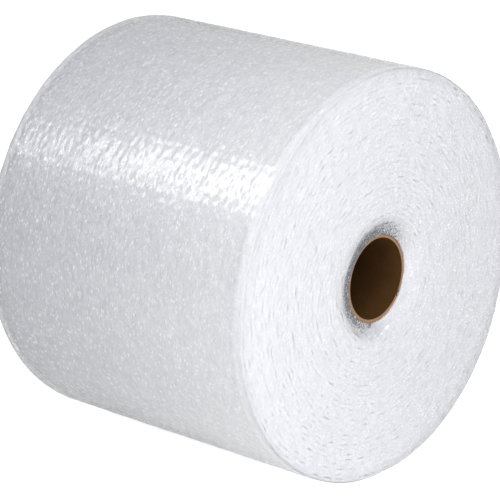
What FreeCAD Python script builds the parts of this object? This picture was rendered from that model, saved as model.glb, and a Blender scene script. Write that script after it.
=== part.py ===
# Roll of air bubble wrap on a cardboard core, lying on its side.
# X runs along the core, Z is up, and the origin is on the floor under the middle of the roll.
import FreeCAD, Part
import Sketcher
import math
import os

doc = FreeCAD.newDocument("bubble_wrap_roll")

# Driving dimensions, in millimetres and degrees
dimensions = {
    "roll_width": (305, "width of the web, 12 inches"),
    "roll_radius": (195.5, "mean radius over the bubbles of the outer turn"),
    "web_thickness": (4.8, "film with its bubbles, 3/16 inch, one turn of the roll"),
    "row_pitch": (9.4, "distance between rows of bubbles round the roll"),
    "row_height": (1.4, "height of a row of bubbles above the valleys beside it"),
    "row_top": (5.2, "width of the flat tops of a row of bubbles"),
    "tail_angle": (3, "place of the web's free end, from +Y towards +Z"),
    "flat_half_width": (25, "half of the flat that the roll's weight presses"),
    "shoulder_radius": (100, "bend on each side of the flat"),
    "ridge_pitch": (11.7, "distance between the ridges on the ends, one for every two turns or so"),
    "ridge_depth": (3.6, "depth of the valleys between turns on the ends"),
    "dimple_width": (21, "width of the inner turns that sink towards the core"),
    "dimple_depth": (6, "how far the innermost turn has sunk"),
    "dimple_rings": (2, "ridges across the sunken turns"),
    "core_bore_radius": (38.1, "3 inch bore of the core"),
    "core_wall": (2.5, "wall of the cardboard core"),
    "core_setback": (8, "distance of the core's ends inside the roll's ends"),
    "core_clearance": (0.3, "play between the core and the first turn"),
    "nick_angle": (-35, "place of the nick in the rim of the core, from +Y towards +Z"),
    "nick_width": (4.5, "length of the nick round the rim"),
    "nick_depth": (1.3, "how far the nick goes into the wall"),
    "nick_length": (3, "how far the nick runs along the core"),
}
sizes = doc.addObject("Spreadsheet::Sheet", "sizes")
for row, (name, (value, note)) in enumerate(dimensions.items(), start=1):
    sizes.set(f"A{row}", note)
    sizes.set(f"B{row}", str(value))
    sizes.setAlias(f"B{row}", name)
doc.recompute()


def size(name):
    """Value of a driving dimension."""
    return float(sizes.get(name))


def point_round(center, radius, angle):
    """Point at a radius from a centre (y, z), at an angle in degrees from +Y towards +Z."""
    turn = math.radians(angle)
    return FreeCAD.Vector(0, center[0] + radius * math.cos(turn), center[1] + radius * math.sin(turn))


# The web winds outwards in half turns about two centres, one each side of the core's axis.
# The centres lie on the line that runs from the axis to the web's free end.
def winding_center(pitch, side):
    """Centre (y, z) of the half turns on one side, for turns that lie a pitch apart."""
    turn = math.radians(size("tail_angle"))
    return (side * pitch / 4 * math.cos(turn), side * pitch / 4 * math.sin(turn))


FIRST_HALF = 1
SECOND_HALF = -1
half_width = size("roll_width") / 2
overrun = size("web_thickness") + size("row_height")

# The outer turn ends on the floor in a flat with a bend on each side.
outer_radius_first = size("roll_radius") + size("web_thickness") / 4
outer_radius_second = size("roll_radius") - size("web_thickness") / 4
outer_center_first = winding_center(size("web_thickness"), FIRST_HALF)
outer_center_second = winding_center(size("web_thickness"), SECOND_HALF)
bend_offset = outer_radius_second - size("shoulder_radius")
bend_drop = math.sqrt(bend_offset**2 - size("flat_half_width")**2)
bend_sweep = math.degrees(math.asin(size("flat_half_width") / bend_offset))
bend_level = outer_center_second[1] - bend_drop
floor_level = bend_level - size("shoulder_radius")


def rows_along(center, radius, start, end):
    """Corners of rows of bubbles along an arc: a valley, then the flat top of each row."""
    rows = round(math.radians(end - start) * radius / size("row_pitch"))
    step = (end - start) / rows
    half_top = math.degrees(size("row_top") / 2 / radius)
    corners = []
    for row in range(rows):
        middle = start + (row + 0.5) * step
        corners.append(point_round(center, radius - size("row_height"), middle - step / 2))
        corners.append(point_round(center, radius, middle - half_top))
        corners.append(point_round(center, radius, middle + half_top))
    return corners


def outer_turn():
    """Outline of the roll: the outer turn with its rows, the pressed flat and the free end."""
    down = 270
    tail = size("tail_angle")
    middle = outer_center_second[0]
    near_bend = (middle - size("flat_half_width"), bend_level)
    far_bend = (middle + size("flat_half_width"), bend_level)
    corners = rows_along(outer_center_first, outer_radius_first, tail, tail + 180)
    corners += rows_along(outer_center_second, outer_radius_second, tail + 180, down - bend_sweep)
    corners += rows_along(near_bend, size("shoulder_radius"), down - bend_sweep, down)
    corners.append(FreeCAD.Vector(0, near_bend[0], floor_level))
    corners.append(FreeCAD.Vector(0, far_bend[0], floor_level))
    corners += rows_along(far_bend, size("shoulder_radius"), down, down + bend_sweep)
    corners += rows_along(outer_center_second, outer_radius_second, down + bend_sweep, tail + 360)
    corners.append(point_round(outer_center_second, outer_radius_second - size("row_height"), tail))
    return Part.Face(Part.makePolygon(corners + corners[:1]))


# The ends show the edges of the turns as one spiral ridge.
core_radius = size("core_bore_radius") + size("core_wall")
wound_radius = core_radius + size("core_clearance")
ridge_pitch = size("ridge_pitch")
land = (ridge_pitch + size("web_thickness")) / 4
first_crest = wound_radius + size("dimple_width") + land
last_crest = size("roll_radius") - size("row_height") - land
ridges = math.floor((last_crest - first_crest) / ridge_pitch - 0.5)


def ridged_half(side):
    """Half section through half turns, with a valley between one crest and the next."""
    crest = first_crest + (ridge_pitch / 2 if side == FIRST_HALF else 0)
    end_line = [(half_width, 0)]
    for ridge in range(ridges):
        end_line.append((half_width, crest + ridge * ridge_pitch))
        end_line.append((half_width - size("ridge_depth"), crest + (ridge + 0.5) * ridge_pitch))
    end_line.append((half_width, crest + ridges * ridge_pitch))
    end_line.append((half_width, size("roll_radius") + 2 * overrun))
    far_line = [(-along, out) for along, out in reversed(end_line)]
    center = winding_center(ridge_pitch, side)
    start = size("tail_angle") if side == FIRST_HALF else size("tail_angle") + 180
    corners = []
    for along, out in end_line + far_line:
        corner = point_round(center, out, start)
        corner.x = along
        corners.append(corner)
    return Part.Face(Part.makePolygon(corners + corners[:1]))


def end_form():
    """Half section of the roll's form: the bore for the core and the sunken inner turns."""
    rings = round(size("dimple_rings"))
    end_line = []
    for half_ring in range(2 * rings + 1):
        share = half_ring / (2 * rings)
        sunk = size("dimple_depth") * (1 - share)**2
        valley = size("ridge_depth") if half_ring % 2 else 0
        end_line.append((half_width - sunk - valley, wound_radius + share * size("dimple_width")))
    dimple_rim = wound_radius + size("dimple_width")
    end_line.append((half_width + overrun, dimple_rim))
    end_line.append((half_width + overrun, size("roll_radius") + 2 * overrun))
    far_line = [(-along, out) for along, out in reversed(end_line)]
    corners = [FreeCAD.Vector(along, out, 0) for along, out in end_line + far_line]
    return Part.Face(Part.makePolygon(corners + corners[:1]))


def section(name, shape):
    """Flat section kept as an object of the document."""
    feature = doc.addObject("Part::Feature", name)
    feature.Shape = shape
    return feature


def revolved(name, source, center, angle):
    """Solid made by turning a section about an axis along X through a centre (y, z)."""
    feature = doc.addObject("Part::Revolution", name)
    feature.Source = source
    feature.Axis = FreeCAD.Vector(1, 0, 0)
    feature.Base = FreeCAD.Vector(0, center[0], center[1])
    feature.Angle = angle
    feature.Solid = True
    return feature


# Bubble wrap: every turn of the web as one solid
halves = []
for side, name in ((FIRST_HALF, "half_turns_outer"), (SECOND_HALF, "half_turns_inner")):
    half_section = section(name + "_section", ridged_half(side))
    halves.append(revolved(name, half_section, winding_center(ridge_pitch, side), 180))
turns = doc.addObject("Part::MultiFuse", "turns")
turns.Shapes = halves
turns.Refine = True

rows = doc.addObject("Part::Extrusion", "bubble_rows")
rows.Base = section("outer_turn", outer_turn())
rows.DirMode = "Custom"
rows.Dir = FreeCAD.Vector(1, 0, 0)
rows.Symmetric = True
rows.Solid = True
rows.setExpression("LengthFwd", "sizes.roll_width + 2 * sizes.web_thickness")

form = revolved("end_form", section("end_form_section", end_form()), (0, 0), 360)

bubble_wrap = doc.addObject("Part::MultiCommon", "bubble_wrap")
bubble_wrap.Label = "bubble_wrap"
bubble_wrap.Shapes = [rows, turns, form]
bubble_wrap.Placement.Base = FreeCAD.Vector(0, 0, -floor_level)


# Core: cardboard tube with a nick in the rim of one end
def plane_of(body, role):
    """One of a body's own origin planes."""
    return next(feature for feature in body.Origin.OriginFeatures if feature.Role == role)


core = doc.addObject("PartDesign::Body", "core_tube")
core.Label = "core_tube"
tube_section = core.newObject("Sketcher::SketchObject", "tube_section")
tube_section.AttachmentSupport = [(plane_of(core, "YZ_Plane"), "")]
tube_section.MapMode = "FlatFace"
axis_x = FreeCAD.Vector(0, 0, 1)
for circle, (radius, expression) in enumerate((
    (core_radius, "sizes.core_bore_radius + sizes.core_wall"),
    (size("core_bore_radius"), "sizes.core_bore_radius"),
)):
    tube_section.addGeometry(Part.Circle(FreeCAD.Vector(0, 0, 0), axis_x, radius), False)
    tube_section.addConstraint(Sketcher.Constraint("Coincident", circle, 3, -1, 1))
    index = tube_section.addConstraint(Sketcher.Constraint("Radius", circle, radius))
    tube_section.setExpression(f"Constraints[{index}]", expression)
tube = core.newObject("PartDesign::Pad", "tube")
tube.Profile = tube_section
tube.SideType = "Symmetric"
tube.setExpression("Length", "sizes.roll_width - 2 * sizes.core_setback")
doc.recompute()

nick_section = core.newObject("Sketcher::SketchObject", "nick_section")
nick_section.AttachmentSupport = [(plane_of(core, "YZ_Plane"), "")]
nick_section.MapMode = "FlatFace"
nick_section.AttachmentOffset = FreeCAD.Placement(
    FreeCAD.Vector(0, 0, half_width - size("core_setback")),
    FreeCAD.Rotation(FreeCAD.Vector(0, 0, 1), size("nick_angle")),
)
tip = FreeCAD.Vector(core_radius - size("nick_depth"), 0, 0)
low = FreeCAD.Vector(core_radius + size("core_wall"), -size("nick_width"), 0)
high = FreeCAD.Vector(core_radius + size("core_wall"), size("nick_width"), 0)
for start, end in ((tip, low), (low, high), (high, tip)):
    nick_section.addGeometry(Part.LineSegment(start, end), False)
for line in range(3):
    nick_section.addConstraint(Sketcher.Constraint("Coincident", line, 2, (line + 1) % 3, 1))
nick_section.addConstraint(Sketcher.Constraint("PointOnObject", 0, 1, -1))
nick_section.addConstraint(Sketcher.Constraint("Symmetric", 1, 1, 1, 2, -1))
index = nick_section.addConstraint(Sketcher.Constraint("DistanceX", -1, 1, 0, 1, tip.x))
nick_section.setExpression(
    f"Constraints[{index}]", "sizes.core_bore_radius + sizes.core_wall - sizes.nick_depth")
index = nick_section.addConstraint(Sketcher.Constraint("DistanceX", 0, 1, 1, 1, low.x - tip.x))
nick_section.setExpression(f"Constraints[{index}]", "2 * sizes.nick_depth")
index = nick_section.addConstraint(Sketcher.Constraint("DistanceY", 1, 1, 1, 2, high.y - low.y))
nick_section.setExpression(f"Constraints[{index}]", "2 * sizes.nick_width")
nick = core.newObject("PartDesign::Pocket", "nick")
nick.Profile = nick_section
nick.setExpression("Length", "sizes.nick_length")
core.Tip = nick
core.Placement.Base = FreeCAD.Vector(0, 0, -floor_level)
doc.recompute()

if not nick.Shape.Volume < tube.Shape.Volume - 1:
    raise RuntimeError("the nick takes nothing from the core")
for feature in doc.Objects:
    if "Invalid" in feature.State or "Error" in feature.State:
        raise RuntimeError(f"{feature.Name} failed: {feature.State}")

os.makedirs("parts", exist_ok=True)
for node in (bubble_wrap, core):
    shape = node.Shape
    if shape.isNull() or not shape.isValid() or len(shape.Solids) != 1:
        raise RuntimeError(f"{node.Label} is not one sound solid")
    shape.exportStep(f"parts/{node.Label}.step")
    print(node.Label, "volume", round(shape.Volume), "mm3, faces", len(shape.Faces), shape.BoundBox)
print("ridges", ridges, "axis height", round(-floor_level, 3))
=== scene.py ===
import bpy
import math
import numpy as np
from mathutils import Matrix, Vector


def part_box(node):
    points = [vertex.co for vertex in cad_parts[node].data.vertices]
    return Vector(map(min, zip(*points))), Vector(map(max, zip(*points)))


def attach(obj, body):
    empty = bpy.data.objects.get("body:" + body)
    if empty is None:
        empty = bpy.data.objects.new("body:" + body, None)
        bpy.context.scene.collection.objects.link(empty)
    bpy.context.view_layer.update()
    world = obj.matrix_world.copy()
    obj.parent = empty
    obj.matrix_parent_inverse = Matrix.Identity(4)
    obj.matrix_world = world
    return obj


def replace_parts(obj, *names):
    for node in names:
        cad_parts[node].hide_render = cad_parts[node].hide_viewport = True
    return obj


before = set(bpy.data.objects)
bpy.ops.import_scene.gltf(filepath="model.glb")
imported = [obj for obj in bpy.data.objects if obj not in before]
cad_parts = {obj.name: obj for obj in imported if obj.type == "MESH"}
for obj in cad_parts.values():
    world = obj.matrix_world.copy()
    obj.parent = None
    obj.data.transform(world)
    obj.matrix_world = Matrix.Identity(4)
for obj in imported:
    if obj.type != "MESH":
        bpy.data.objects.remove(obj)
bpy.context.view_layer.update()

coreLow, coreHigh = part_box("core_tube")
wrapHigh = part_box("bubble_wrap")[1]

roll = {  # metres and degrees
    "halfWidth": wrapHigh.x,
    "axisHeight": (coreLow.z + coreHigh.z) / 2,
    "coreRadius": (coreHigh.y - coreLow.y) / 2,
    "radius": 0.1955,          # mean, over the bubbles of the outer turn
    "coreGap": 0.0003,
    "turn": 0.0048,            # film with its bubbles
    "tailAngle": 3,            # place of the free end, from +Y towards +Z
    "sag": (0.0021, -0.0036, -0.0009, -0.0006),   # second and third waves of the outline
    "pressSoftness": 0.0009,   # bend beside the flat on the floor
    "rimWidth": 0.006,         # rounding of the rim, along the core
    "rimDrop": 0.003,          # rounding of the rim, towards the core
    "rimTurn": 35,             # how far round the rim the outer film reaches
    "dimpleWidth": 0.021,      # hollow round the core
    "dimpleDepth": 0.006,
    "clearance": 0.0002,       # above the floor
}
axisHeight = roll["axisHeight"]
halfWidth = roll["halfWidth"]
turn = roll["turn"]
innerRadius = roll["coreRadius"] + roll["coreGap"]
firstRadius = innerRadius + turn
lastRadius = roll["radius"] + turn / 2
tail = math.radians(roll["tailAngle"])
turnCount = (lastRadius - firstRadius) / turn
webLength = math.pi * (lastRadius**2 - firstRadius**2) / turn


# Wound angle from the first turn, for a length of web measured back from the free end.
# The web's length to an angle is firstRadius * angle + turn * angle squared / 4 pi.
def woundAngle(length):
    left = np.maximum(webLength - length, 0)
    return (np.sqrt(firstRadius**2 + turn * left / math.pi) - firstRadius) * 2 * math.pi / turn


# Radius over the bubbles at a wound angle: the spiral gains one turn's thickness in each round.
def woundRadius(angle):
    return firstRadius + turn * angle / (2 * math.pi)


# Place round the roll, from +Y towards +Z, of a wound angle. The web winds outwards the other way.
def placeOf(angle):
    return tail - angle + turnCount * 2 * math.pi


# Moves a radius with the roll's shape. The outline has a second and a third wave, and the weight
# presses a flat on the floor. Inner turns follow the waves by the square of their share of the
# radius and the flat by its cube.
def settle(radius, place):
    c2, s2, c3, s3 = roll["sag"]
    wave = c2 * np.cos(2 * place) + s2 * np.sin(2 * place)
    wave = wave + c3 * np.cos(3 * place) + s3 * np.sin(3 * place)
    down = np.maximum(-np.sin(place), 0.05)
    outermost = lastRadius - turn * np.mod(place - tail, 2 * math.pi) / (2 * math.pi)
    share = np.clip((radius - innerRadius) / (outermost - innerRadius), 0, 1.1)
    excess = outermost + wave - axisHeight / down
    press = (excess + np.sqrt(excess**2 + roll["pressSoftness"]**2)) / 2
    press = np.where(np.sin(place) < -0.5, press, 0)
    return radius + wave * share**2 - press * share**3


# Point of the roll for a place along the core, a radius and a place round it.
def rollPoints(along, radius, place):
    settled = settle(radius, place)
    height = np.maximum(axisHeight + settled * np.sin(place), roll["clearance"])
    return np.stack([along, settled * np.cos(place), height], axis=-1)


# Place along the core and drop of the outer film for a share of the width from -1 to 1. The film
# is straight as far as the rim and then follows a quarter ellipse for part of its way.
rimAngle = math.radians(roll["rimTurn"])
filmReach = halfWidth - roll["rimWidth"] * (1 - math.sin(rimAngle))


def filmProfile(along):
    straight = halfWidth - roll["rimWidth"]
    over = np.clip((np.abs(along) - straight) / (filmReach - straight), 0, 1.05)
    angle = np.arcsin(np.clip(over * math.sin(rimAngle), 0, 1))
    return np.clip(along, -filmReach, filmReach), roll["rimDrop"] * (1 - np.cos(angle))


# How far an end is sunk round the core: half a cosine wave from the core outwards.
def dimple(radius):
    out = np.clip((radius - innerRadius) / roll["dimpleWidth"], 0, 1)
    return roll["dimpleDepth"] * (1 + np.cos(math.pi * out)) / 2


# How far the end stands back at a depth below the outer film: the rest of the same ellipse.
def rimBack(depth):
    left = 1 - np.clip(depth / roll["rimDrop"], 0, 1)
    return roll["rimWidth"] * (1 - np.sqrt(1 - left**2))


# Mesh from vertex places and quads or triangles, at the origin, smooth and slotted. A pair of
# places on the web for each vertex becomes its UV map.
def makePiece(name, points, quads, triangles, material, web=None):
    mesh = bpy.data.meshes.new(name)
    corners = [quads.reshape(-1, 4), triangles.reshape(-1, 3)]
    loops = np.concatenate([part.ravel() for part in corners]).astype(np.int32)
    sizes = np.concatenate([np.full(len(part), part.shape[1]) for part in corners]).astype(np.int32)
    starts = np.concatenate([[0], np.cumsum(sizes)[:-1]]).astype(np.int32)
    mesh.vertices.add(len(points))
    mesh.vertices.foreach_set("co", points.astype(np.float32).ravel())
    mesh.loops.add(len(loops))
    mesh.loops.foreach_set("vertex_index", loops)
    mesh.polygons.add(len(sizes))
    mesh.polygons.foreach_set("loop_start", starts)
    mesh.polygons.foreach_set("use_smooth", np.ones(len(sizes), dtype=bool))
    if web is not None:
        layer = mesh.uv_layers.new(name="web")
        layer.uv.foreach_set("vector", web[loops].astype(np.float32).ravel())
    mesh.update(calc_edges=True)
    mesh.validate()
    piece = bpy.data.objects.new(name, mesh)
    bpy.context.scene.collection.objects.link(piece)
    mesh.materials.append(material)
    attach(piece, "root")
    return piece


# Quads of a grid of rows by columns of vertices, counter-clockwise.
def gridQuads(rows, columns):
    first = (np.arange(rows - 1)[:, None] * columns + np.arange(columns - 1)[None, :]).ravel()
    return np.stack([first, first + 1, first + columns + 1, first + columns], axis=-1)


noTriangles = np.zeros((0, 3), dtype=int)


# Output socket that takes part in Python maths: each operation adds its Math node.
class Wire:
    def __init__(self, tree, node, socket):
        self.tree = tree
        self.node = node
        self.socket = socket

    def other(self, name):
        return Wire(self.tree, self.node, self.node.outputs[name])

    def maths(self, operation, left, right=0.0):
        return addNode(self.tree, "ShaderNodeMath", {"operation": operation}, {0: left, 1: right})

    def __add__(self, other):
        return self.maths("ADD", self, other)

    def __radd__(self, other):
        return self.maths("ADD", other, self)

    def __sub__(self, other):
        return self.maths("SUBTRACT", self, other)

    def __rsub__(self, other):
        return self.maths("SUBTRACT", other, self)

    def __mul__(self, other):
        return self.maths("MULTIPLY", self, other)

    def __truediv__(self, other):
        return self.maths("DIVIDE", self, other)

    def __pow__(self, other):
        return self.maths("POWER", self, other)

    def __abs__(self):
        return self.maths("ABSOLUTE", self)

    def fraction(self):
        return self.maths("FRACT", self)

    def whole(self):
        return self.maths("FLOOR", self)

    def clip(self):
        return addNode(self.tree, "ShaderNodeClamp", {}, {"Value": self})


# Adds a node: settings come first, then the values or links of its sockets.
def addNode(tree, kind, settings, values):
    node = tree.nodes.new(kind)
    for name, value in settings.items():
        setattr(node, name, value)
    for name, value in values.items():
        if isinstance(value, Wire):
            tree.links.new(value.socket, node.inputs[name])
        else:
            node.inputs[name].default_value = value
    shown = [socket for socket in node.outputs if socket.enabled]
    return Wire(tree, node, shown[0]) if shown else None


def newMaterial(name):
    material = bpy.data.materials.new(name)
    material.use_nodes = True
    material.node_tree.nodes.clear()
    return material, material.node_tree


def finishMaterial(tree, surface):
    addNode(tree, "ShaderNodeOutputMaterial", {}, {"Surface": surface})


def mixTones(tree, share, first, second):
    return addNode(tree, "ShaderNodeMix", {"data_type": "RGBA"}, {0: share, 6: first, 7: second})


def objectPlace(tree):
    return addNode(tree, "ShaderNodeTexCoord", {}, {}).other("Object")


# The X part of a vector, with its Y and Z parts as other outputs.
def splitParts(tree, vector):
    return addNode(tree, "ShaderNodeSeparateXYZ", {}, {0: vector})


# How much a surface faces along the core, from 0 to 1.
def facesEnd(tree):
    normal = addNode(tree, "ShaderNodeNewGeometry", {}, {}).other("Normal")
    return abs(splitParts(tree, normal))


# Object coordinates pressed together round the roll, so that a pattern runs long that way.
def stretchedPlace(tree, along, round):
    return addNode(tree, "ShaderNodeVectorMath", {"operation": "MULTIPLY"}, {
        0: objectPlace(tree), 1: (along, round, round)})


def noise(tree, place, scale, detail=3.0, roughness=0.5, distortion=0.0):
    return addNode(tree, "ShaderNodeTexNoise", {}, {
        "Vector": place, "Scale": scale, "Detail": detail, "Roughness": roughness,
        "Distortion": distortion})


def voronoi(tree, place, scale):
    return addNode(tree, "ShaderNodeTexVoronoi", {"feature": "F1"}, {
        "Vector": place, "Scale": scale, "Randomness": 0.9})


depths = {
    "shade": (0.64, 0.645, 0.71, 1),
    "milk": (0.90, 0.903, 0.94, 1),
    "base": -0.2,              # share of milk, before clouds and cells
    "cloudScale": 22,
    "cloudShare": 0.5,
    "cellScale": 250,          # deeper bubbles, out of step with each other
    "cellStretch": 0.6,
    "cellShare": 1.1,
    "cellDepth": 0.0015,
    "cellStrength": 0.7,
    "farEndShade": 0.42,               # painted shade: how much they darken towards the far end
    "soft": 0.006,             # how far light spreads in them
    "softShare": 0.7,
    "roughness": 0.25,
    "coat": 0.3,
    "coatRoughness": 0.12,
}


# The turns seen through the outer film: milky and soft inside. Deeper bubbles show as faint cells,
# with clouds over them. They darken towards the far end as painted shade.
def depthsMaterial():
    material, tree = newMaterial("milkyTurns")
    place = objectPlace(tree)
    cloud = noise(tree, place, depths["cloudScale"], 3)
    cells = voronoi(tree, stretchedPlace(tree, 1, depths["cellStretch"]), depths["cellScale"])
    # painted shade: less milk towards the far end of the roll
    far = (0.5 - splitParts(tree, place) / halfWidth * 0.5).clip()
    share = cells * depths["cellShare"] + cloud * depths["cloudShare"] + depths["base"]
    share = (share - far * far * depths["farEndShade"]).clip()
    bump = addNode(tree, "ShaderNodeBump", {}, {
        "Height": cells, "Distance": depths["cellDepth"], "Strength": depths["cellStrength"]})
    shade = addNode(tree, "ShaderNodeBsdfPrincipled", {}, {
        "Base Color": mixTones(tree, share, depths["shade"], depths["milk"]),
        "Roughness": cloud * 0.3 + depths["roughness"],
        "Normal": bump,
        "Subsurface Weight": depths["softShare"],
        "Subsurface Radius": (1.0, 1.0, 1.0),
        "Subsurface Scale": depths["soft"],
        "Coat Weight": depths["coat"],
        "Coat Roughness": depths["coatRoughness"],
    })
    finishMaterial(tree, shade)
    return material


bubbles = {
    "radius": 0.0050,
    "depth": 0.0040,
    "bulge": 0.00035,          # how far a full bubble lifts the outer film
    "rowPitch": 0.0094,
    "pitch": 0.01085,
    "segments": 10,
    "sides": ((1.0, 0.0), (0.92, 0.66), (0.56, 0.96)),   # share of radius, share of depth
    "tuckedRows": 3,           # rows that run on under the free end
    "slackShare": 0.04,        # bubbles that have lost air
    "fill": (0.9, 0.16),       # mean and spread of how full a bubble is
    "lean": 0.08,
    "sizeSpread": 0.02,
    "under": 0.0002,           # foot of the bubbles, below the outer radius
    "seed": 5,
}

film = {
    "tone": (0.78, 0.785, 0.84, 1),
    "milky": (0.98, 0.982, 1.0, 1),
    "refraction": 2.0,
    "coatRefraction": 1.8,
    "cloudScale": 90,          # soft clouds in the milk
    "cloudTone": 0.4,
    "grainTone": 0.7,
    "cloudMilk": 0.12,
    "grainMilk": 0.12,
    "spotReach": 0.42,         # size of a spot, as a share of its cell
    "spotEdge": 5,
    "ringReach": 0.86,         # place of a bubble's foot, as a share of its radius
    "ringEdge": 6,
    "shadedHollow": (0.04, 0.04, 0.055, 1),   # clear turns in the hollow round the core, darkened further as painted shade
    "duskMilk": 0.6,
    "duskWidth": 0.020,
    "hollowShadeSlant": 0.55,         # painted shade: the hollow is darker on one side
    "duskGrain": 10.5,         # how sharply it breaks into grains
    "duskStart": 3.3,
    "edge": (0.63, 0.635, 0.685, 1),  # painted shade: darker tone of the rounded rim
    "rimBand": 0.011,          # its width on the side, fading in
    "rimFadeIn": 140,
    "rimMilk": 0.45,
    "rimShade": 0.8,
    "rimStart": 0.180,         # radius from which the ends take half of that painted shade
    "rimFade": 0.015,
    "turnedFrom": 0.93,        # the ends are dull where they turn over into the side
    "turnedRadius": 0.16,
}
outerLook = {
    "milk": 0.34,              # share of light that the layer scatters
    "quietLitMiddle": 0.5,        # quiet share half way along, and its rise to the near end; it carries painted light
    "quietLitSlope": 0.5,
    "paintedLightMilk": 0.26,              # painted light: more milk where it is quiet
    "tint": -0.34,             # tone of the layer
    "glow": 0.34,              # painted light: how much paler it is where it is quiet
    "calm": 0.65,              # how much smoother it is there
    "glance": 0.10,            # how much a glancing look clouds it
    "spotScale": 400,          # small folds, whose milk and paler tone are painted glints, long round the roll
    "spotStretch": 0.45,
    "paintedGlintMilk": 0.42,
    "paintedGlintTone": 0.5,
    "spotDepth": 0.00028,
    "creaseScale": 260,
    "creaseTone": 2.6,
    "creaseDepth": 0.0016,
    "grainScale": 750,
    "grainDepth": 0.00010,
    "ringGlintMilk": 0.12,          # foot of each bubble; milk in broken arcs on it is painted glints
    "ringDepth": 0.00014,
    "roughness": 0.32,
    "coatRoughness": 0.095,
    "atEnd": False,
}
endLook = {
    "milk": 0.62,
    "quietLitMiddle": 0.45,       # quiet share at the core, and its rise towards -Y; it carries painted light
    "quietLitSlope": 0.7,
    "paintedLightMilk": 0.08,
    "tint": -0.25,
    "glow": 0.0,
    "calm": 0.8,
    "glance": 0.05,
    "spotScale": 400,
    "spotStretch": 1.0,
    "paintedGlintMilk": 0.24,
    "paintedGlintTone": 0.6,
    "spotDepth": 0.00011,
    "creaseScale": 300,
    "creaseTone": 0.6,
    "creaseDepth": 0.00010,
    "grainScale": 700,
    "grainDepth": 0.00005,
    "roughness": 0.32,
    "coatRoughness": 0.14,
    "atEnd": True,
}


# Distance from the core's axis, and how far to one side of it a point lies, from -1 to 1.
def placeOnEnd(tree):
    across = addNode(tree, "ShaderNodeVectorMath", {"operation": "MULTIPLY"}, {
        0: addNode(tree, "ShaderNodeVectorMath", {"operation": "SUBTRACT"}, {
            0: objectPlace(tree), 1: (0, 0, axisHeight)}),
        1: (0, 1, 1)})
    far = addNode(tree, "ShaderNodeVectorMath", {"operation": "LENGTH"}, {0: across}).other("Value")
    aside = addNode(tree, "ShaderNodeVectorMath", {"operation": "DOT_PRODUCT"}, {
        0: across, 1: (0, -0.85, 0.5)}).other("Value")
    return far, aside / far


# How dark the hollow round the core is, from clear film over the dark core and from painted shade:
# most at the core, fading outwards, darker on one side, and in grains.
def shadedHollowShare(far, aside, grain):
    near = (1 - (far - innerRadius) / film["duskWidth"]).clip()
    slant = 1 - film["hollowShadeSlant"] + aside * film["hollowShadeSlant"]
    return (near * slant * (grain * film["duskGrain"] - film["duskStart"])).clip()


# Rings at the feet of the bubbles, from the places on the web: each is high where the distance
# from its bubble's middle is the bubble's radius.
def bubbleRings(tree):
    web = addNode(tree, "ShaderNodeUVMap", {"uv_map": "web"}, {})
    across = splitParts(tree, web)
    rows = across.other("Y")
    shift = (rows.whole() * 0.5).fraction()
    offAlong = ((across - shift + 0.5).fraction() - 0.5) * bubbles["pitch"]
    offRound = (rows.fraction() - 0.5) * bubbles["rowPitch"]
    reach = (offAlong * offAlong + offRound * offRound)**0.5 / bubbles["radius"]
    return (1 - abs(reach - film["ringReach"]) * film["ringEdge"]).clip()


# Small spots near the middles of random cells, each with its own strength.
def scatteredSpots(tree, place, scale):
    cell = voronoi(tree, place, scale)
    chance = addNode(tree, "ShaderNodeSeparateColor", {}, {0: cell.other("Color")})
    return ((film["spotReach"] - cell) * film["spotEdge"]).clip() * chance
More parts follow.
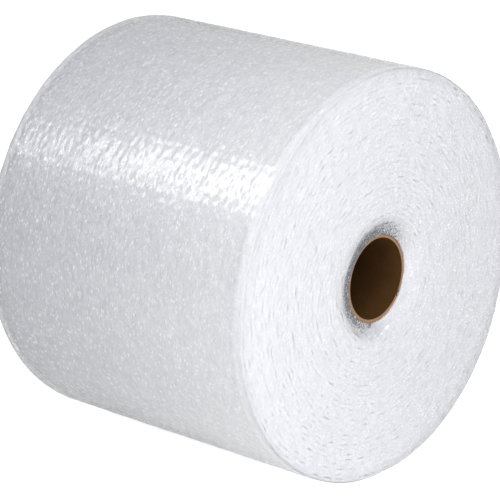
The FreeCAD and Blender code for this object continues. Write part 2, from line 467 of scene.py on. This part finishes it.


# Clear film: some milk in a clear sheet, more at a glancing angle and in small spots, whose milk
# and paler tone are painted glints. It is milkier beside the rim and, on the ends, in the hollow
# round the core, and darker at both as painted shade. Towards one side it is quiet, which is
# smoother, and milkier and paler as painted light.
def filmMaterial(name, look):
    material, tree = newMaterial(name)
    place = objectPlace(tree)
    parts = splitParts(tree, place)
    if look["atEnd"]:
        quietAndLit = (look["quietLitMiddle"] - parts.other("Y") / lastRadius * look["quietLitSlope"]).clip()
    else:
        quietAndLit = (look["quietLitMiddle"] + parts / halfWidth * look["quietLitSlope"]).clip()
    lively = 1 - quietAndLit * look["calm"]
    folds = stretchedPlace(tree, 1, look["spotStretch"])
    crease = noise(tree, folds, look["creaseScale"], 2, 0.5, 0.4)
    grain = noise(tree, place, look["grainScale"], 2, 0.6)
    cloud = noise(tree, place, film["cloudScale"], 3, 0.6)
    spot = scatteredSpots(tree, folds, look["spotScale"])
    height = (crease * look["creaseDepth"] + spot * look["spotDepth"]) * lively
    height = height + grain * look["grainDepth"]
    # painted glints: milk and a paler tone in the small spots
    white = spot * lively * look["paintedGlintMilk"] + quietAndLit * look["paintedLightMilk"]
    tone = ((crease - 0.5) * look["creaseTone"] + spot * look["paintedGlintTone"]) * lively
    tone = tone + cloud * film["cloudTone"] + grain * film["grainTone"]
    # painted light: paler where it is quiet
    tone = (tone + quietAndLit * look["glow"] + look["tint"]).clip()
    if look["atEnd"]:
        far, aside = placeOnEnd(tree)
        shadedHollow = shadedHollowShare(far, aside, grain)
        rim = ((far - film["rimStart"]) / film["rimFade"]).clip()
        turned = ((film["turnedFrom"] - facesEnd(tree)) * 8).clip()
        turned = turned * ((far - film["turnedRadius"]) * 100).clip()
        tone = mixTones(tree, tone, film["tone"], film["milky"])
        # painted shade: the ends darken towards their outer rim
        tone = mixTones(tree, rim * 0.5, tone, film["edge"])
        # painted shade in the hollow round the core, partly clear film over the dark core
        tone = mixTones(tree, shadedHollow, tone, film["shadedHollow"])
        white = white + shadedHollow * film["duskMilk"]
        dull = (shadedHollow * 0.9 + turned * 0.95).clip()
    else:
        ring = bubbleRings(tree)
        height = height + ring * look["ringDepth"]
        rim = ((abs(parts) - (halfWidth - film["rimBand"])) * film["rimFadeIn"]).clip()
        # painted glints: broken arcs of milk on the bubbles' feet
        white = white + ring * (crease * 3 - 1).clip() * look["ringGlintMilk"]
        white = white + rim * film["rimMilk"]
        tone = mixTones(tree, tone, film["tone"], film["milky"])
        # painted shade: the side darkens at its rounded rim
        tone = mixTones(tree, rim * film["rimShade"], tone, film["edge"])
        dull = rim * 0.95
    bump = addNode(tree, "ShaderNodeBump", {}, {
        "Height": height * 1000, "Distance": 0.001, "Strength": 1.0})
    shade = addNode(tree, "ShaderNodeBsdfPrincipled", {}, {
        "Base Color": tone,
        "Roughness": cloud * 0.16 + dull * 0.35 + look["roughness"] - 0.08,
        "Normal": bump,
        "IOR": film["refraction"],
        "Coat Weight": 1 - dull,
        "Coat Roughness": look["coatRoughness"],
        "Coat IOR": film["coatRefraction"],
    })
    clear = addNode(tree, "ShaderNodeBsdfTransparent", {}, {"Color": (1, 1, 1, 1)})
    edge = addNode(tree, "ShaderNodeFresnel", {}, {"IOR": 1.5, "Normal": bump})
    share = edge * look["glance"] + cloud * film["cloudMilk"] + grain * film["grainMilk"] + white
    share = (share + (look["milk"] - 0.12)).clip()
    both = addNode(tree, "ShaderNodeMixShader", {}, {0: share, 1: clear, 2: shade})
    finishMaterial(tree, both)
    return material


domes = {
    "tone": (0.90, 0.90, 0.94, 1),
    "milky": (0.99, 0.99, 1.0, 1),
    "milk": 0.05,
    "cloudScale": 300,
    "cloudMilk": 0.06,
    "glance": 0.2,
    "roughness": 0.1,
}


# Bubbles under the outer film: clear and glossy, cloudier where they are looked at edge on.
def domeMaterial():
    material, tree = newMaterial("bubbleFilm")
    cloud = noise(tree, objectPlace(tree), domes["cloudScale"], 1, 0.5)
    shade = addNode(tree, "ShaderNodeBsdfPrincipled", {}, {
        "Base Color": mixTones(tree, cloud, domes["tone"], domes["milky"]),
        "Roughness": cloud * 0.1 + domes["roughness"],
        "IOR": film["refraction"],
    })
    clear = addNode(tree, "ShaderNodeBsdfTransparent", {}, {"Color": (1, 1, 1, 1)})
    edge = addNode(tree, "ShaderNodeFresnel", {}, {"IOR": 1.5})
    share = (edge * domes["glance"] + cloud * domes["cloudMilk"] + domes["milk"]).clip()
    both = addNode(tree, "ShaderNodeMixShader", {}, {0: share, 1: clear, 2: shade})
    finishMaterial(tree, both)
    return material


board = {
    # painted shade: the wall's browns are made darker than the board to stand in for the bore's
    # shade
    "inside": (0.036, 0.0155, 0.0042, 1),
    "fibre": (0.14, 0.067, 0.021, 1),
    "fibreScale": 900,
    "fibreDepth": 0.0003,
    "blotchScale": 45,
    "cut": (0.37, 0.22, 0.12, 1),
    "plyPitch": 0.075,         # helical joint between plies
    "plyGap": 0.012,           # its width, as a share of the pitch
    "plyTone": (0.07, 0.04, 0.02, 1),
    "boreShade": (0.004, 0.0022, 0.0008, 1),
    "boreShadeShare": 0.6,
    "boreShadeDepth": 0.10,         # painted shade: the bore is darker this far in
    "scuff": (0.012, 0.008, 0.004, 1),
    "scuffAngle": -35,         # place of the nick, from +Y towards +Z
    "scuffHalf": 0.0030,       # half its length round the rim
    "scuffWidth": 0.0014,
    "scuffInset": 0.0009,      # from the outside of the tube
    "roughness": 0.75,
}


# Brown cardboard: fibres, the helical joint between plies and paler cut ends. Its browns, the
# bore and the nick are darkened as painted shade.
def boardMaterial():
    material, tree = newMaterial("cardboard")
    place = objectPlace(tree)
    centred = addNode(tree, "ShaderNodeVectorMath", {"operation": "SUBTRACT"}, {
        0: place, 1: (0, 0, axisHeight)})
    along = splitParts(tree, centred)
    around = along.maths("ARCTAN2", along.other("Z"), along.other("Y"))
    ply = (along / board["plyPitch"] + around / (2 * math.pi)).fraction()
    joint = ply.maths("LESS_THAN", ply, board["plyGap"])
    fibres = noise(tree, place, board["fibreScale"], 6, 0.7)
    blotch = noise(tree, place, board["blotchScale"], 3)
    worn = (fibres * 0.8 + blotch * 0.6 - 0.2).clip()
    wall = mixTones(tree, worn, board["inside"], board["fibre"])
    wall = mixTones(tree, joint * 0.6, wall, board["plyTone"])
    # painted shade: the bore darkens away from its ends
    deepShade = ((coreHigh.x - abs(along)) / board["boreShadeDepth"]).clip()
    wall = mixTones(tree, deepShade * board["boreShadeShare"], wall, board["boreShade"])
    atEnd = along.maths("GREATER_THAN", abs(along), coreHigh.x - 0.001)
    tone = mixTones(tree, (facesEnd(tree) * 3 - 1.6).clip() * atEnd, wall, board["cut"])
    # painted shade: a dark patch in the nick at the near end
    far = placeOnEnd(tree)[0]
    offRound = around - math.radians(board["scuffAngle"])
    offRound = offRound * (roll["coreRadius"] / board["scuffHalf"])
    offOut = (far - (roll["coreRadius"] - board["scuffInset"])) / board["scuffWidth"]
    scuff = ((1.2 - offRound * offRound - offOut * offOut + (fibres - 0.5) * 1.5) * 3).clip()
    near = ((along - coreHigh.x) * 300 + 1.5).clip()
    tone = mixTones(tree, scuff * near * 0.95, tone, board["scuff"])
    bump = addNode(tree, "ShaderNodeBump", {}, {
        "Height": fibres - joint, "Distance": board["fibreDepth"], "Strength": 0.6})
    shade = addNode(tree, "ShaderNodeBsdfPrincipled", {}, {
        "Base Color": tone,
        "Roughness": fibres * 0.2 + board["roughness"],
        "Normal": bump,
        "Specular IOR Level": 0.15,
    })
    finishMaterial(tree, shade)
    return material


perRow = math.ceil(2 * halfWidth / bubbles["pitch"]) + 2


# Length of web from the free end back over some wound angle.
def webLengthBack(back):
    angle = turnCount * 2 * math.pi - back
    return webLength - (firstRadius * angle + turn * angle**2 / (4 * math.pi))


outerLength = webLengthBack(2 * math.pi)
rowCount = round(outerLength / bubbles["rowPitch"]) + bubbles["tuckedRows"]


# How full each bubble of the outer turn is, by row and place in the row.
def bubbleFill():
    chance = np.random.default_rng(bubbles["seed"])
    fill = np.clip(chance.normal(*bubbles["fill"], (rowCount + 2, perRow)), 0.35, 1.2)
    slack = chance.random(fill.shape) < bubbles["slackShare"]
    return np.where(slack, fill * chance.uniform(0.1, 0.6, fill.shape), fill)


fill = bubbleFill()


# Outer turn's bubbles, which face the core: one dome for each place of a lattice whose rows lie
# across the web, every other row half a pitch on. Each sinks and leans a little by chance.
def outerBubbles(material):
    chance = np.random.default_rng(bubbles["seed"] + 1)
    row, column = np.meshgrid(np.arange(rowCount), np.arange(perRow), indexing="ij")
    length = (row + 0.5) * bubbles["rowPitch"]
    along = -halfWidth + (column + 0.5 * (row % 2)) * bubbles["pitch"]
    keep = along < halfWidth
    length, along, full = length[keep], along[keep], fill[row[keep], column[keep]]
    count = len(length)
    size = 1 + chance.normal(0, bubbles["sizeSpread"], count)
    leanAlong = chance.normal(0, bubbles["lean"], count)
    leanRound = chance.normal(0, bubbles["lean"], count)

    spokes = np.arange(bubbles["segments"]) * 2 * math.pi / bubbles["segments"]
    levels = len(bubbles["sides"])
    reach = np.append(np.repeat([share for share, _ in bubbles["sides"]], len(spokes)), 0.0)
    sink = np.append(np.repeat([share for _, share in bubbles["sides"]], len(spokes)), 1.0)
    angles = np.append(np.tile(spokes, levels), 0.0)[None, :]
    angles = angles + chance.uniform(0, 6.3, count)[:, None]
    offAlong = reach * np.cos(angles) * size[:, None] * bubbles["radius"]
    offRound = reach * np.sin(angles) * size[:, None] * bubbles["radius"]
    down = sink * (0.55 + 0.45 * np.minimum(full, 1))[:, None] * bubbles["depth"]
    down = down + sink * (offAlong * leanAlong[:, None] + offRound * leanRound[:, None])
    x, drop = filmProfile(along[:, None] + offAlong)
    angle = woundAngle(length[:, None] + offRound)
    radius = woundRadius(angle) - bubbles["under"] - drop - down
    points = rollPoints(x, radius, placeOf(angle)).reshape(-1, 3)

    perBubble = levels * len(spokes) + 1
    around = np.arange(len(spokes))
    following = (around + 1) % len(spokes)
    quads = [np.stack([low + around, low + len(spokes) + around, low + len(spokes) + following,
                       low + following], -1)
             for low in range(0, (levels - 1) * len(spokes), len(spokes))]
    crown = (levels - 1) * len(spokes)
    fans = np.stack([crown + around, np.full(len(spokes), perBubble - 1), crown + following], -1)
    shift = np.arange(count)[:, None, None] * perBubble
    quads = (np.concatenate(quads)[None] + shift).reshape(-1, 4)
    fans = (fans[None] + shift).reshape(-1, 3)
    piece = makePiece("outer_bubbles", points, quads, fans, material)
    print("outer bubbles", count, "triangles", 2 * len(quads) + len(fans))
    return piece


sheet = {
    "alongSteps": 6,           # vertices for each bubble along a row
    "roundSteps": 4,           # and from row to row
    "waveDepth": 0.00012,
    "waveLength": 0.006,
    "swellLength": 0.06,       # long waves
    "under": 0.0006,           # film between bubbles, below the outer radius
    "seed": 11,
}


# Smooth waves by chance: a sum of sines in two directions.
def ripples(first, second, scale, seed, count=9):
    chance = np.random.default_rng(seed)
    total = np.zeros(np.broadcast(first, second).shape)
    for _ in range(count):
        heading = chance.uniform(0, 2 * math.pi)
        rate = chance.uniform(0.5, 2.2) * 2 * math.pi / scale
        start = chance.uniform(0, 2 * math.pi)
        reach = first * math.cos(heading) + second * math.sin(heading)
        total = total + np.sin(rate * reach + start)
    return total / math.sqrt(count)


# Outer film, the smooth side of the web. It follows the spiral and lifts in a low lens over each
# bubble: one less the square of the distance from the bubble's middle. Long waves run round it.
def outerFilm(material):
    columns = rowCount * sheet["roundSteps"] + 1
    rows = round(2 * halfWidth / bubbles["pitch"] * sheet["alongSteps"]) + 1
    length = np.linspace(0, rowCount * bubbles["rowPitch"], columns)[None, :]
    along = np.linspace(-filmReach, filmReach, rows)[:, None]
    lift = np.zeros((rows, columns))
    nearRow = np.floor(length / bubbles["rowPitch"]).astype(int)
    for step in (-1, 0, 1):
        row = np.clip(nearRow + step, 0, rowCount - 1)
        column = (along + halfWidth) / bubbles["pitch"] - 0.5 * (row % 2)
        column = np.clip(np.round(column).astype(int), 0, perRow - 1)
        offRound = length - (row + 0.5) * bubbles["rowPitch"]
        offAlong = along + halfWidth - (column + 0.5 * (row % 2)) * bubbles["pitch"]
        share = (offRound**2 + offAlong**2) / (bubbles["radius"] * 1.04)**2
        lift = np.maximum(lift, fill[row, column] * np.clip(1 - share, 0, 1))
    wave = ripples(along, length * 0.12, sheet["waveLength"], sheet["seed"], 16)
    wave = wave + 2 * ripples(along, length * 0.4, sheet["swellLength"], sheet["seed"] + 1)
    x, drop = filmProfile(along)
    angle = woundAngle(length)
    radius = woundRadius(angle) - sheet["under"] - drop
    radius = radius + lift * bubbles["bulge"] + wave * sheet["waveDepth"]
    freeEdge = radius[:, :1] - bubbles["depth"]
    radius = np.concatenate([freeEdge, radius], axis=1)
    place = placeOf(np.concatenate([angle[:, :1], angle], axis=1)) + 0 * along
    points = rollPoints(x + 0 * place, radius, place)
    quads = gridQuads(rows, columns + 1)
    lengths = np.concatenate([length[:, :1], length], axis=1)
    web = np.stack([(along + halfWidth) / bubbles["pitch"] + 0 * place,
                    lengths / bubbles["rowPitch"] + 0 * place], axis=-1).reshape(-1, 2)
    piece = makePiece("outer_film", points.reshape(-1, 3), quads, noTriangles,
                      material, web)
    print("outer film triangles", 2 * len(quads))
    return piece


body = {
    "columns": 300,
    "straightRows": 80,
    "rimRows": 3,
    "endRows": 40,
    "inset": 0.0045,           # below the outer film
    "rim": 0.001,              # rounding between side and end
}


# The turns under the outer one, as one closed form: a profile carried round the roll, from the
# bore over one end, along the side and back over the other end, with the step of the free end.
def innerTurns(material):
    inset = body["inset"]
    far = halfWidth - inset * 1.1
    side = np.linspace(-1, 1, body["straightRows"])
    across = np.linspace(0, 1, body["endRows"])
    rim = np.linspace(0, math.pi / 2, body["rimRows"] + 2)[1:-1]
    place = np.linspace(0, 2 * math.pi, body["columns"] + 1)[None, :]
    angle = turnCount * 2 * math.pi - 2 * math.pi + place
    outer = woundRadius(angle) - inset
    bore = innerRadius + 0 * outer

    def face(share, direction):
        radius = bore + (outer - body["rim"] - bore) * share[:, None]
        return direction * (far - dimple(radius)), radius

    def corner(angles, direction):
        along = far - body["rim"] * (1 - np.sin(angles))
        radius = outer - body["rim"] * (1 - np.cos(angles[:, None]))
        return direction * along[:, None] + 0 * outer, radius

    parts = [
        face(across, 1), corner(rim[::-1], 1),
        (-side[:, None] * (far - body["rim"]) + 0 * outer, outer + 0 * side[:, None]),
        corner(rim, -1), face(across[::-1], -1)]
    along = np.concatenate([part[0] for part in parts])
    radius = np.concatenate([part[1] for part in parts])
    rows, columns = radius.shape
    points = rollPoints(along, radius, placeOf(angle) + 0 * radius)
    first = np.arange(rows)[:, None] * columns + np.arange(columns)[None, :]
    following = np.roll(first, -1, axis=0)
    quads = np.stack([
        first, np.roll(first, -1, axis=1), np.roll(following, -1, axis=1), following], -1)
    piece = makePiece("inner_turns", points.reshape(-1, 3), quads.reshape(-1, 4), noTriangles,
                      material)
    print("inner turns triangles", 2 * rows * columns)
    return piece


ends = {
    "cellSteps": 6,            # vertices along one bubble
    "acrossSteps": 6,
    "valley": 0.0004,          # depth between bubbles
    "bulgeSpread": 0.0002,
    "openShare": 0.35,         # bubbles that the slitting cut open
    "openDepth": 0.0004,
    "turnSpread": 0.00015,     # how far turns stand out or back
    "turnWave": 2.5,           # in turns
    "slowDepth": 0.0006,       # long swells of the whole end
    "slowLength": 0.12,
    "fineDepth": 0.00010,
    "fineLength": 0.007,
    "patchLength": 0.011,      # patches with deeper and shallower valleys
    "shiftDepth": 0.0005,      # waves of the turns towards the core and back
    "shiftLength": 0.022,
    "under": 0.0008,           # below the width of the web
    "edgeUnder": 0.0004,       # outside of a turn, below its outer radius
    "seed": 23,
}


# One end of the roll. Its grid runs along the wound web and across each turn, and every bubble
# there is a pillow: one less the square of the distance from its middle, both ways. Some are cut
# open.
def rollEnd(name, side, material):
    chance = np.random.default_rng(ends["seed"] + side)
    cells = int(webLength / bubbles["rowPitch"])
    columns = cells * ends["cellSteps"] + 1
    cellPlace = np.linspace(0, cells, columns)
    cell = np.minimum(cellPlace.astype(int), cells - 1)
    within = cellPlace - cell
    angle = woundAngle(cellPlace * bubbles["rowPitch"])
    place = placeOf(angle)
    share = np.linspace(0, 1, ends["acrossSteps"] + 1)[:, None]

    outside = woundRadius(angle) - ends["edgeUnder"]
    inside = np.where(angle < 2 * math.pi, innerRadius, outside - turn)
    onTop = angle > (turnCount - 1) * 2 * math.pi
    edge = outside - np.where(onTop, roll["rimDrop"] * (1 - math.cos(rimAngle)), 0)
    radius = inside + (edge - inside) * share
    over = np.where(onTop, 0, turn)
    depth = outside + over - radius

    bulge = chance.normal(0, 1, cells)[cell] * ends["bulgeSpread"]
    opened = (chance.random(cells) < ends["openShare"])[cell]
    skew = chance.uniform(-0.4, 0.4, cells)[cell]
    border = 1 - (2 * share - 1)**2
    acrossPlace = np.abs(2 * share - 1 + skew * border)
    pillow = np.clip(1 - acrossPlace**2, 0, 1) * (1 - np.abs(2 * within - 1)**2)
    rise = np.where(opened, -ends["openDepth"] * pillow, bulge + ends["valley"])
    calm = np.where(onTop, 1 - share * 0.85, 1)

    # neighbouring turns share their border, half a turn on from one and back from the other
    y, z = radius * np.cos(place), radius * np.sin(place)
    turns = angle / 2 / math.pi
    before = ripples(turns - 0.5, np.zeros(1), ends["turnWave"], ends["seed"] + 2, 14)
    after = ripples(turns + 0.5, np.zeros(1), ends["turnWave"], ends["seed"] + 2, 14)
    stand = (before * (1 - share) + after * share) * ends["turnSpread"]
    slow = ripples(y, z, ends["slowLength"], ends["seed"] + 3) * ends["slowDepth"]
    fine = ripples(y, z, ends["fineLength"], ends["seed"] + 4, 18) * ends["fineDepth"]
    uneven = 0.6 + 0.4 * ripples(y, z, ends["patchLength"], ends["seed"] + 5, 14)
    level = (rise * pillow - ends["valley"] * uneven + stand + fine) * calm
    out = halfWidth - ends["under"] + level + slow * calm - dimple(radius) - rimBack(depth)
    out = np.minimum(out, halfWidth)
    shift = ripples(y, z, ends["shiftLength"], ends["seed"] + 6, 12) * ends["shiftDepth"]
    radius = radius + shift * calm * (share > 0)
    points = rollPoints(side * out, radius, place + 0 * radius)
    quads = gridQuads(ends["acrossSteps"] + 1, columns)
    if side > 0:
        quads = quads[:, ::-1]
    piece = makePiece(name, points.reshape(-1, 3), quads, noTriangles, material)
    print(name, "cells", cells, "triangles", 2 * len(quads))
    return piece


print("materials")
outerMaterial = filmMaterial("outerFilm", outerLook)
bubbleMaterial = domeMaterial()
endMaterial = filmMaterial("cutFilm", endLook)
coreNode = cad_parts["core_tube"]
coreNode.data.materials.clear()
coreNode.data.materials.append(boardMaterial())

print("turns under the outer one")
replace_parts(innerTurns(depthsMaterial()), "bubble_wrap")
print("outer turn")
outerFilm(outerMaterial)
outerBubbles(bubbleMaterial)
print("ends")
rollEnd("near_end", 1, endMaterial)
rollEnd("far_end", -1, endMaterial)

studio = {
    "floorSize": 12.0,
    "floorTone": (0.80, 0.80, 0.80, 1),
    "floorGlow": 0.85,
    "sky": 0.26,               # strength of its plain grey light
    "fills": ("endLamp", "sideLamp", "topLamp"),   # big screens that leave no glints
    "lamps": (                 # name, place, point that it faces, size and power
        ("bandLamp", (-1.29, -1.12, 1.68), (0.05, 0, axisHeight), (1.1, 1.4), 0.4),
        ("glowLamp", (-1.27, -1.14, 1.62), (0.05, 0, axisHeight), (0.4, 0.95), 5.0),
        ("spotLamp", (-1.08, -1.09, 1.59), (0.12, 0, axisHeight), (0.2, 0.25), 0.45),
        ("sparkLamp", (-0.9, -1.2, 1.9), (0.1, 0, axisHeight), (0.15, 0.15), 1.0),
        ("endLamp", (1.4, -0.35, 0.55), (0.15, 0, axisHeight), (1.1, 1.1), 7.9),
        ("endSpark", (1.25, 1.0, 0.75), (0.15, 0, axisHeight), (0.15, 0.15), 1.0),
        ("sideLamp", (0.42, -0.70, 0.27), (0.14, -0.15, 0.12), (0.5, 0.5), 1.35),
        ("topLamp", (0.48, -0.35, 0.98), (0.12, 0, 0.35), (0.8, 0.8), 4.7),
    ),
}


# White where the camera or a reflection sees it; its own light is a plain grey.
def seenDirectly(tree):
    camera = addNode(tree, "ShaderNodeLightPath", {}, {})
    return (camera + camera.other("Is Glossy Ray") + camera.other("Is Transmission Ray")).clip()


def makeFloor():
    half = studio["floorSize"] / 2
    points = np.array([[-half, -half, 0], [half, -half, 0], [half, half, 0], [-half, half, 0]])
    mesh = bpy.data.meshes.new("floor")
    mesh.from_pydata(points.tolist(), [], [(0, 1, 2, 3)])
    floor = bpy.data.objects.new("floor", mesh)
    bpy.context.scene.collection.objects.link(floor)
    material, tree = newMaterial("paperFloor")
    matt = addNode(tree, "ShaderNodeBsdfDiffuse", {}, {"Color": studio["floorTone"]})
    glow = addNode(tree, "ShaderNodeEmission", {}, {
        "Color": (1, 1, 1, 1), "Strength": seenDirectly(tree) * studio["floorGlow"]})
    both = addNode(tree, "ShaderNodeAddShader", {}, {0: matt, 1: glow})
    finishMaterial(tree, both)
    mesh.materials.append(material)


def makeSky():
    world = bpy.data.worlds.new("studio")
    bpy.context.scene.world = world
    world.use_nodes = True
    tree = world.node_tree
    tree.nodes.clear()
    seen = seenDirectly(tree)
    strength = seen + (1 - seen) * studio["sky"]
    sky = addNode(tree, "ShaderNodeBackground", {}, {"Color": (1, 1, 1, 1), "Strength": strength})
    addNode(tree, "ShaderNodeOutputWorld", {}, {"Surface": sky})


# Soft lamp that faces a point.
def makeLamp(name, spot, target, size, power):
    data = bpy.data.lights.new(name, "AREA")
    data.shape = "RECTANGLE"
    data.size, data.size_y = size
    data.energy = power
    lamp = bpy.data.objects.new(name, data)
    lamp.visible_camera = False
    lamp.visible_glossy = name not in studio["fills"]
    lamp.location = spot
    lamp.rotation_mode = "QUATERNION"
    lamp.rotation_quaternion = (Vector(target) - Vector(spot)).to_track_quat("-Z", "Y")
    bpy.context.scene.collection.objects.link(lamp)


lens = {  # where the photographer stood, round the middle of the roll
    "azimuth": 40.24,
    "elevation": 18.85,
    "distance": 2.5689,
    "right": -0.00358,
    "up": -0.00429,
    "focal": 197.97,
    "sensor": 36.0,
}


def makeCamera():
    azimuth, elevation = math.radians(lens["azimuth"]), math.radians(lens["elevation"])
    back = Vector((
        math.sin(azimuth) * math.cos(elevation),
        -math.cos(azimuth) * math.cos(elevation),
        math.sin(elevation)))
    right = Vector((math.cos(azimuth), math.sin(azimuth), 0))
    up = back.cross(right)
    data = bpy.data.cameras.new("camera")
    data.lens = lens["focal"]
    data.sensor_width = lens["sensor"]
    data.clip_start, data.clip_end = 0.1, 50
    camera = bpy.data.objects.new("camera", data)
    spot = Vector((0, 0, axisHeight)) + back * lens["distance"]
    camera.location = spot + right * lens["right"] + up * lens["up"]
    camera.rotation_mode = "QUATERNION"
    camera.rotation_quaternion = Matrix((right, up, back)).transposed().to_quaternion()
    bpy.context.scene.collection.objects.link(camera)
    bpy.context.scene.camera = camera


print("studio")
makeFloor()
makeSky()
makeCamera()
for lampFacts in studio["lamps"]:
    makeLamp(*lampFacts)

bpy.context.scene.view_settings.view_transform = "Standard"
